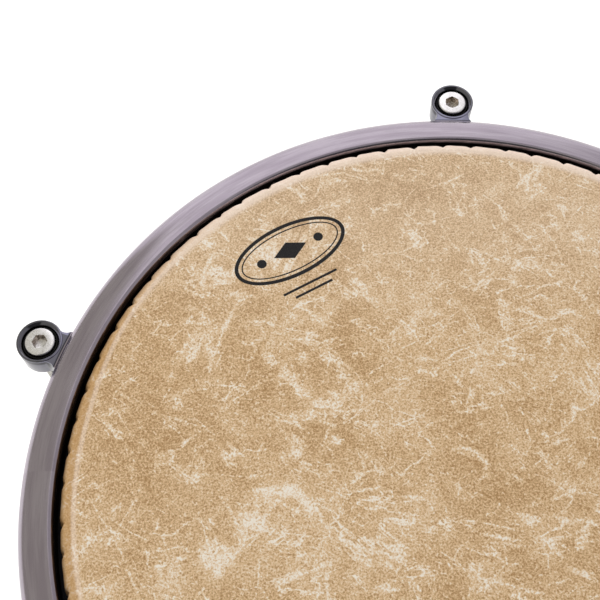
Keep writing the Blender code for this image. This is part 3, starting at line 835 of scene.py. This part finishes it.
def screw_mesh():
    """Socket-head screw: a head with a rolled edge and a chamfered hexagon socket, on a threaded shank."""
    seat, shank_end, shank = -13.7, -20.0, 3.6
    head = [(0, SCREW_TOP, 0), (6.5, SCREW_TOP, 0.7), (6.5, seat, 0.3), (shank, seat, 0)]
    head += [(shank, shank_end, 0), (0, shank_end, 0)]
    head_mesh = lathe("tension_screw", rounded(head, 5), 72)
    across_flats = 6.0
    corner = across_flats / 2 / math.cos(math.pi / 6)
    hexagon = [(corner * math.cos(math.tau * i / 6), corner * math.sin(math.tau * i / 6)) for i in range(6)]
    socket = prism("socket", hexagon, SOCKET_FLOOR, -4.0)
    chamfer = lathe("chamfer", [(0, -5.9), (2.95, -5.9), (3.55, -5.3), (0, -5.3)], 72)
    drill_point = lathe("drill_point", [(0, -10.8), (2.9, -10.0), (0, -10.0)], 48)
    shaped = combine(head_mesh, ("DIFFERENCE", socket), ("DIFFERENCE", chamfer), ("DIFFERENCE", drill_point))
    thread = thread_mesh(3.95, -93.7, shank_end + 1.0)
    return gathered("tension_screw", [shaped, thread])


def nylon_cup_mesh():
    wall, floor, top = 6.8, -14.0, -7.2
    liner = [(SHANK_HOLE, -14.8, 0.2), (7.5, -14.8, 0.4), (7.5, top, 0.2), (wall, top, 0.2)]
    liner += [(wall, floor, 0.2), (SHANK_HOLE, floor, 0.2)]
    return lathe("nylon_cup", rounded(liner, 3), 64)


def build_screws():
    """Each screw's socket stands at an angle of its own."""
    mesh, cup = screw_mesh(), nylon_cup_mesh()
    for i, turn in zip(LUGS, (0, 24, 41, 8, 52)):
        node, liner = f"tension_screw_{i}", f"nylon_cup_{i}"
        spot = middle(node)
        place = (spot.x, spot.y, HOOP_TOP)
        angle = bearing(node) + math.radians(turn)
        chrome, nylon = MATERIALS["screw"], MATERIALS["nylon"]
        piece(f"screw_{i}", mesh.copy(), chrome, f"screw_{i}", [node], place, angle)
        piece(f"liner_{i}", cup.copy(), nylon, "counterhoop", [liner], place)


# The kettle


def build_bowl():
    """A straight wall over half an ellipsoid, with the vent hole at its lowest point."""
    drop = KETTLE_DEPTH - KETTLE_STRAIGHT
    inside, vent = KETTLE_RADIUS - KETTLE_WALL, 13.0
    centre = (0, -KETTLE_STRAIGHT)
    outer_end = -math.degrees(math.acos(vent / KETTLE_RADIUS))
    inner_end = -math.degrees(math.acos(vent / inside))
    outer = arc(centre, (KETTLE_RADIUS, drop), 0, outer_end, 44)
    inner = arc(centre, (inside, drop - KETTLE_WALL), inner_end, 0, 44)
    rim = [(inside, -20.0, 0), (inside, KETTLE_RIM, 0.5), (KETTLE_RADIUS, KETTLE_RIM, 0.6)]
    rim += [(KETTLE_RADIUS, -20.0, 0)]
    mesh = lathe("kettle_bowl", outer + inner + rounded(rim, 3), 240)
    piece("copper_bowl", mesh, MATERIALS["copper"], "kettle", ["kettle_bowl"])


def build_bearing_ring():
    """It stands in the kettle's mouth with a shoulder on the rim, and the film bears on its round top."""
    bore, spigot, edge_top = 149.5, KETTLE_RADIUS - KETTLE_WALL - 0.35, -0.1
    ring = [
        (bore, -22.0, 0.6),
        (spigot, -22.0, 0.6),
        (spigot, KETTLE_RIM + 0.3, 0.3),
        (KETTLE_RADIUS, KETTLE_RIM + 0.3, 0.4),
        (156.8, -3.0, 1.5),
        (155.6, edge_top, 1.2),
        (153.6, edge_top, 0.9),
        (bore, -7.0, 2.0),
    ]
    mesh = lathe("bearing_ring", rounded(ring, 4), RING_STEPS)
    piece("bearing_edge", mesh, MATERIALS["aluminium"], "kettle", ["bearing_ring"])


def build_vent_grommet():
    low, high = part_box("vent_grommet")
    bottom, top = (low.z - HOOP_TOP) / MM, (high.z - HOOP_TOP) / MM
    hole, groove, flange, lip = 10.0, 12.6, 16.5, 1.5
    section = [
        (hole, top, 0.6),
        (flange, top, 0.7),
        (flange, top - lip, 0.3),
        (groove, top - lip, 0.3),
        (groove, bottom + lip, 0.3),
        (flange, bottom + lip, 0.3),
        (flange, bottom, 0.7),
        (hole, bottom, 0.6),
    ]
    mesh = lathe("vent_grommet", rounded(section, 4), 64)
    piece("vent_ring", mesh, MATERIALS["rubber"], "kettle", ["vent_grommet"])


# Lug brackets and leg clamps


def loft(name, sections):
    """A solid through rounded rectangles at distances along X, each (x, half width, half height, corner,
    height of its middle). Points far from the middle of the first ones are set back to follow the kettle."""
    verts, faces = [], []
    for x, wide, tall, corner, level in sections:
        corners = [(wide, tall, corner), (-wide, tall, corner), (-wide, -tall, corner), (wide, -tall, corner)]
        ring = rounded(corners)
        count = len(ring)
        hug = max(0.0, 1 - (x - KETTLE_RADIUS) / 12)
        for y, z in ring:
            sag = KETTLE_RADIUS - math.sqrt(KETTLE_RADIUS**2 - y * y)
            verts.append((x - sag * hug, y, z + level))
    for row in range(len(sections) - 1):
        for i in range(count):
            j = (i + 1) % count
            faces.append([row * count + i, row * count + j, (row + 1) * count + j, (row + 1) * count + i])
    last = (len(sections) - 1) * count
    faces += [list(range(count))[::-1], [last + i for i in range(count)]]
    return new_mesh(name, verts, faces)


def bracket_sections(plate_wide, plate_tall, arm_wide, arm_start, arm_end, reach, level):
    """Sections of a plate on the kettle that narrows by a smooth curve into an arm."""
    seat = KETTLE_RADIUS + 0.35
    sections = [
        (seat, plate_wide - 0.3, plate_tall - 0.3, 3.0, level),
        (seat + 0.3, plate_wide, plate_tall, 3.0, level),
        (seat + 2.6, plate_wide, plate_tall, 3.0, level),
        (seat + 3.4, plate_wide - 0.35, plate_tall - 0.35, 2.9, level),
        (seat + 3.8, plate_wide - 1.1, plate_tall - 1.1, 2.6, level),
    ]
    steps = 7
    for step in range(1, steps + 1):
        share = step / steps
        ease = 1 - (1 - share) ** 2.6
        wide = plate_wide - 1.6 + (arm_wide - plate_wide + 1.6) * ease
        tall = plate_tall - 1.6 + (arm_start - plate_tall + 1.6) * ease
        sections.append((seat + 3.9 + 6.5 * share**2, wide, tall, min(2.4, wide * 0.6), level))
    sections.append((reach, arm_wide * 0.92, arm_end, min(2.2, arm_wide * 0.6), level))
    return sections


def lug_bracket_mesh():
    """Cast lug: plate, tapering arm and an upright barrel that carries the swivel nut."""
    body = loft("lug_bracket", bracket_sections(14.0, 22.0, 5.4, 15.5, 9.8, EAR_PITCH - 2.0, NUT_HEIGHT))
    tall, radius = 11.0, 9.2
    barrel = [(0, NUT_HEIGHT + tall, 0), (radius, NUT_HEIGHT + tall, 1.2), (radius, NUT_HEIGHT - tall, 1.2)]
    barrel = moved(lathe("barrel", rounded(barrel + [(0, NUT_HEIGHT - tall, 0)], 4), 56), x=EAR_PITCH)
    upper, lower = NUT_HEIGHT + 20, NUT_HEIGHT - 20
    bore = moved(lathe("bore", [(0, upper), (5.0, upper), (5.0, lower), (0, lower)], 48), x=EAR_PITCH)
    seat = lathe("seat", [(0, -20), (6.4, -20), (6.4, 20), (0, 20)], 56)
    seat = moved(turned(seat, math.pi / 2, "X"), x=EAR_PITCH, z=NUT_HEIGHT)
    return combine(body, ("UNION", barrel), ("DIFFERENCE", bore), ("DIFFERENCE", seat))


def swivel_nut_mesh():
    """A brass barrel on its side, with a rolled edge, a slot across each end and the screw's hole."""
    half, radius = 8.5, 6.0
    section = rounded([(0, half, 0), (radius, half, 0.7), (radius, -half, 0.7), (0, -half, 0)], 4)
    barrel = turned(lathe("swivel_nut", section, 56), math.pi / 2, "X")
    hole = lathe("hole", [(0, -12), (4.4, -12), (4.4, 12), (0, 12)], 48)
    steps = [("DIFFERENCE", hole)]
    for side in (-1, 1):
        slot = prism("slot", [(-7, -0.7), (7, -0.7), (7, 0.7), (-7, 0.7)], side * 7.7, side * 12.0, along="Y")
        steps.append(("DIFFERENCE", slot))
    return moved(combine(barrel, *steps), z=NUT_HEIGHT)


def build_lugs():
    bracket = moved(lug_bracket_mesh(), x=-EAR_PITCH)
    nut = swivel_nut_mesh()
    nickel, brass = MATERIALS["nickel"], MATERIALS["brass"]
    for i in LUGS:
        angle = bearing(f"tension_screw_{i}")
        spot = middle(f"tension_screw_{i}")
        place = (spot.x, spot.y, HOOP_TOP)
        lug_node, nut_node = f"lug_bracket_{i}", f"swivel_nut_{i}"
        piece(f"lug_{i}", bracket.copy(), nickel, "kettle", [lug_node], place, angle)
        piece(f"nut_{i}", nut.copy(), brass, "kettle", [nut_node], place, angle)


def leg_bracket_mesh():
    """Cast clamp: plate, arm, a sleeve around the leg and a boss for the wing screw."""
    low, high = -104.5, -71.5
    centre, half = (low + high) / 2, (high - low) / 2
    sections = bracket_sections(15.5, half + 7.5, 8.6, half - 1.0, half - 1.6, LEG_PITCH - 2.0, centre)
    body = loft("leg_bracket", sections)
    outer = LEG_RADIUS + 4.8
    sleeve = rounded([(0, high, 0), (outer, high, 1.3), (outer, low, 1.3), (0, low, 0)], 4)
    sleeve = moved(lathe("sleeve", sleeve, 64), x=LEG_PITCH)
    boss = rounded([(0, 4.0, 0), (7.2, 4.0, 0), (7.2, 19.0, 1.0), (0, 19.0, 0)], 4)
    boss = turned(lathe("boss", boss, 56), -math.pi / 2, "X")
    boss = moved(boss, x=LEG_PITCH, z=WING_HEIGHT)
    way_radius, below, above = 8.4, low - 9, high + 9
    bore = lathe("bore", [(0, below), (way_radius, below), (way_radius, above), (0, above)], 64)
    bore = moved(bore, x=LEG_PITCH)
    thread_way = lathe("thread_way", [(0, 2), (4.4, 2), (4.4, 25), (0, 25)], 40)
    thread_way = moved(turned(thread_way, -math.pi / 2, "X"), x=LEG_PITCH, z=WING_HEIGHT)
    steps = [("UNION", sleeve), ("UNION", boss), ("DIFFERENCE", bore), ("DIFFERENCE", thread_way)]
    return moved(combine(body, *steps), x=-LEG_PITCH)


def wing_outline():
    """One wing from the hub out: a waist, then a round lobe."""
    right = [(3.4, 2.0), (3.6, 5.0), (4.6, 8.0)] + arc((0, 13.2), (5.6, 5.4), -15, 90, 9)
    left = [(-x, z) for x, z in reversed(right)]
    return right + left[1:]


def wing_screw_mesh():
    """A hub with two wings, on a threaded shank. Its axis is Y."""
    hub = rounded([(0, 19.4, 0), (6.2, 19.4, 0.8), (5.4, 29.0, 1.4), (0, 29.0, 0)], 4)
    hub = turned(lathe("wing_screw", hub, 48), -math.pi / 2, "X")
    near, far, edge = 23.2, 27.0, 1.1
    upper = prism("wing", wing_outline(), near, far, edge, along="Y")
    lower = prism("wing", [(-x, -z) for x, z in wing_outline()], near, far, edge, along="Y")
    joined = combine(hub, ("UNION", upper), ("UNION", lower))
    thread = turned(thread_mesh(3.9, -21.0, -8.6), math.pi / 2, "X")
    return gathered("wing_screw", [joined, thread])


def leg_meshes():
    """The tube, its end plug and its rubber tip. Heights of the tip are above the floor."""
    top, bottom = -60.0, 8.0 - HOOP_TOP / MM
    inner = LEG_RADIUS - 1.5
    tube = [(inner, top, 0.4), (LEG_RADIUS, top, 0.4), (LEG_RADIUS, bottom, 0.4), (inner, bottom, 0.4)]
    lip = top + 0.3
    plug = [
        (0, lip + 3.0, 0),
        (5.6, lip + 3.0, 2.6),
        (LEG_RADIUS, lip + 1.0, 0.8),
        (LEG_RADIUS, lip, 0.2),
        (inner - 0.3, lip, 0.2),
        (inner - 0.3, lip - 9.0, 0.5),
        (0, lip - 9.0, 0),
    ]
    tip = [(0, 0.6, 0), (8.5, 0.6, 0.2), (8.9, 0.0, 0.2), (10.9, 0.0, 0.5), (12.5, 1.6, 0.6)]
    tip += foot_grip() + [(10.6, 35.0, 0.9), (8.3, 35.0, 0.5), (8.3, 7.7, 0.5), (0, 7.7, 0)]
    return (
        lathe("leg_tube", rounded(tube, 3), 56),
        lathe("leg_cap", rounded(plug, 5), 56),
        lathe("rubber_foot", rounded(tip, 3), 64),
    )


def foot_grip():
    """The tip's tapering side, with three grooves in it."""
    widest, start, taper, depth = 12.5, 7.0, 0.063, 0.9
    grip = [(widest, start, 1.2)]
    for level in (11.0, 15.5, 20.0):
        reach = widest - (level - start) * taper
        grip += [(reach, level, 0.4), (reach - depth, level + 0.7, 0.3)]
        grip += [(reach - depth, level + 1.9, 0.3), (reach - 0.16, level + 2.6, 0.4)]
    return grip


def build_legs():
    """The wing screw may be on either side of a leg, so the clamp has a left and a right form."""
    tube, plug, tip = leg_meshes()
    bracket, wing = leg_bracket_mesh(), wing_screw_mesh()
    far_bracket, far_wing = mirrored(bracket), mirrored(wing)
    nickel, chrome, nylon, rubber = (MATERIALS[key] for key in ("nickel", "chrome", "nylon", "rubber"))
    for i in LEGS:
        spot = middle(f"leg_tube_{i}")
        angle = bearing(f"leg_tube_{i}")
        screw = middle(f"wing_screw_{i}") - spot
        clockwise = screw.x * math.sin(angle) - screw.y * math.cos(angle) > 0
        place, on_floor = (spot.x, spot.y, HOOP_TOP), (spot.x, spot.y, 0.0)
        at_wing = (spot.x, spot.y, HOOP_TOP + WING_HEIGHT * MM)
        clamp = (far_bracket if clockwise else bracket).copy()
        handle = (far_wing if clockwise else wing).copy()
        leg = f"leg_{i}"
        rows = (
            (f"clamp_{i}", clamp, nickel, "hoop_nickel", "kettle", f"leg_bracket_{i}", place),
            (f"tube_{i}", tube.copy(), chrome, "bright_chrome", leg, f"leg_tube_{i}", place),
            (f"plug_{i}", plug.copy(), nylon, "black_nylon", leg, f"leg_cap_{i}", place),
            (f"tip_{i}", tip.copy(), rubber, "black_rubber", leg, f"rubber_foot_{i}", on_floor),
            (f"wing_{i}_screw", handle, chrome, "bright_chrome", f"wing_{i}", f"wing_screw_{i}", at_wing),
        )
        for name, mesh, material, slot, body, node, at in rows:
            piece(name, mesh, material, body, [node], at, angle)


def dress_bolts():
    """The hexagon bolts inside the kettle keep their CAD shape."""
    for name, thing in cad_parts.items():
        if "bolt" in name:
            for slot in thing.material_slots:
                slot.material = MATERIALS["zinc"]


# The studio


def build_floor():
    """A wide pale floor that glows a little, so that shadows on it stay faint."""
    s = Surface("pale_floor", roughness=0.6)
    s.set("Emission Color", (1.0, 1.0, 1.0, 1.0))
    s.set("Emission Strength", 0.55)
    tone = s.ramp(s.noise(3.0, 3, 0.5), 0.3, 0.7)
    material = s.done(s.mix(tone, (0.90, 0.90, 0.90), (0.93, 0.93, 0.93)))
    half = 6.0
    corners = [(-half, -half, 0), (half, -half, 0), (half, half, 0), (-half, half, 0)]
    mesh = bpy.data.meshes.new("floor")
    mesh.from_pydata(corners, [], [[0, 1, 2, 3]])
    mesh.materials.append(material)
    floor = bpy.data.objects.new("floor", mesh)
    bpy.context.scene.collection.objects.link(floor)


def card_mask(tree, direction, inner, outer):
    """1 towards a direction, fading to 0 between two angles from it in degrees."""
    place = tree.nodes.new("ShaderNodeTexCoord").outputs["Generated"]
    across = tree.nodes.new("ShaderNodeVectorMath")
    across.operation = "DOT_PRODUCT"
    across.inputs[1].default_value = Vector(direction).normalized()
    tree.links.new(place, across.inputs[0])
    fade = tree.nodes.new("ShaderNodeMapRange")
    fade.interpolation_type = "SMOOTHSTEP"
    fade.inputs["From Min"].default_value = math.cos(math.radians(outer))
    fade.inputs["From Max"].default_value = math.cos(math.radians(inner))
    tree.links.new(across.outputs["Value"], fade.inputs["Value"])
    return fade.outputs["Result"]


def build_world():
    """A bright studio for the metal to reflect, with grey cards on the drum's left, on its right and above
    it, and a dark one on its near side."""
    world = bpy.data.worlds.new("studio")
    world.use_nodes = True
    bpy.context.scene.world = world
    tree = world.node_tree
    background = tree.nodes["Background"]
    colour = (1.0, 0.99, 1.0, 1)
    cards = (
        ((-0.88, -0.30, 0.36), 67.5, 70.5, (0.420, 0.410, 0.360, 1)),
        ((0.93, 0.12, 0.35), 38, 68, (0.44, 0.43, 0.43, 1)),
        ((0.30, 0.10, 0.95), 16, 26, (0.42, 0.41, 0.41, 1)),
        ((0.22, -0.70, 0.62), 27, 34, (0.07, 0.07, 0.07, 1)),
    )
    for direction, inner, outer, tone in cards:
        mix = tree.nodes.new("ShaderNodeMix")
        mix.data_type = "RGBA"
        sockets = [s for s in mix.inputs if s.type == "RGBA"]
        if isinstance(colour, tuple):
            sockets[0].default_value = colour
        else:
            tree.links.new(colour, sockets[0])
        sockets[1].default_value = tone
        tree.links.new(card_mask(tree, direction, inner, outer), mix.inputs["Factor"])
        colour = next(s for s in mix.outputs if s.type == "RGBA")
    tree.links.new(colour, background.inputs["Color"])
    background.inputs["Strength"].default_value = 1.22


def build_lamp():
    """A soft lamp high up on the far left. The metal doesn't reflect it."""
    place, target, side = Vector((-0.5, 0.7, 2.1)), Vector((0, 0, 0.5)), 1.2
    data = bpy.data.lights.new("overhead", "AREA")
    data.shape = "RECTANGLE"
    data.size, data.size_y = side, side
    data.energy = 11.0
    lamp = bpy.data.objects.new("overhead", data)
    bpy.context.scene.collection.objects.link(lamp)
    lamp.location = place
    lamp.visible_glossy = False
    lamp.rotation_euler = (target - place).to_track_quat("-Z", "Y").to_euler()


def build_camera():
    """Above the near left of the head, looking down at its far left part, with a slight roll."""
    data = bpy.data.cameras.new("camera")
    data.lens = 61.87
    data.sensor_width = 36.0
    camera = bpy.data.objects.new("camera", data)
    bpy.context.scene.collection.objects.link(camera)
    place = Vector((-0.0585, -0.11535, HOOP_TOP + 0.39555))
    target = Vector((-0.0689, 0.0784, HOOP_TOP))
    roll = math.radians(-1.22)
    look = (target - place).to_track_quat("-Z", "Y").to_matrix().to_4x4()
    camera.matrix_world = Matrix.Translation(place) @ look @ Matrix.Rotation(roll, 4, "Z")
    bpy.context.scene.camera = camera


build_camera()
build_film()
build_mark()
build_flesh_hoop()
build_counterhoop()
build_screws()
build_bowl()
build_bearing_ring()
build_vent_grommet()
build_lugs()
build_legs()
dress_bolts()
build_floor()
build_world()
build_lamp()
bpy.context.scene.view_settings.view_transform = "Standard"
